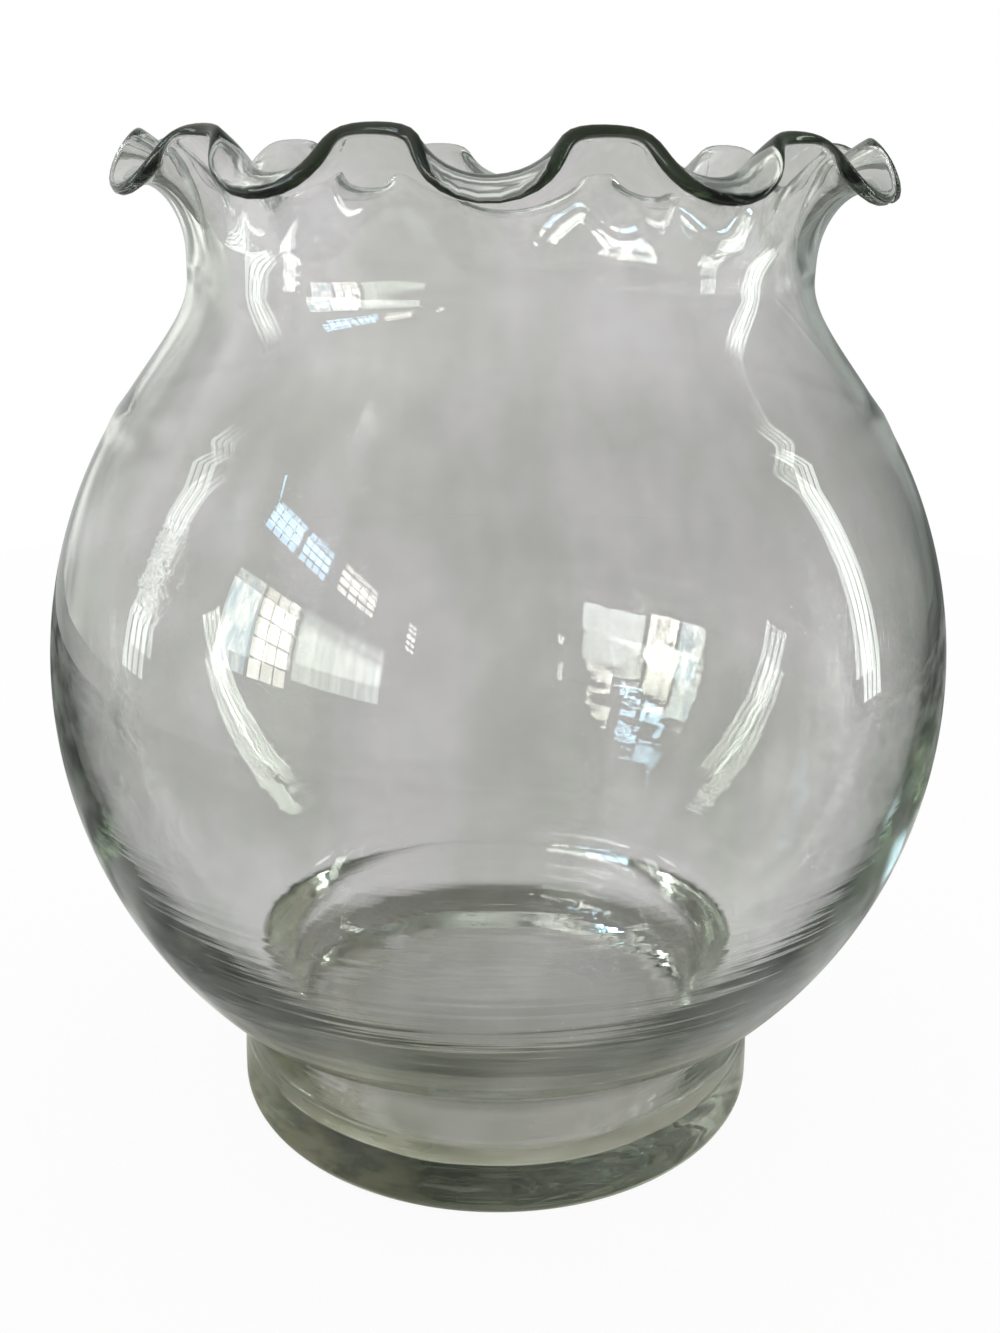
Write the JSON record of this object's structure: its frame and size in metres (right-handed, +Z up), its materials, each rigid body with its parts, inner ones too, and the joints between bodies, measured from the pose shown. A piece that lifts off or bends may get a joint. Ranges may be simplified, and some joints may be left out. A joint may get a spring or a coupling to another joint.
{
  "type": "footed ivy bowl",
  "caption": "Clear glass ivy bowl: a round globe on a short hollow foot, with a waisted neck and a crimped, fire-polished rim.",
  "frame": {"origin": "on the floor under the middle of the foot, at the centre of the part's bounding box", "axes": "+Z up out of the mouth, -Y towards the front of the bowl in the picture, +X to the right in the picture"},
  "size_m": [0.165, 0.165, 0.1836],
  "materials": {
    "clear_glass": "clear blown glass with a faint grey-green cast, glossy, with a fire-polished edge"
  },
  "bodies": {
    "root": {"bowl": "clear_glass", "foot": "clear_glass"}
  },
  "joints": []
}
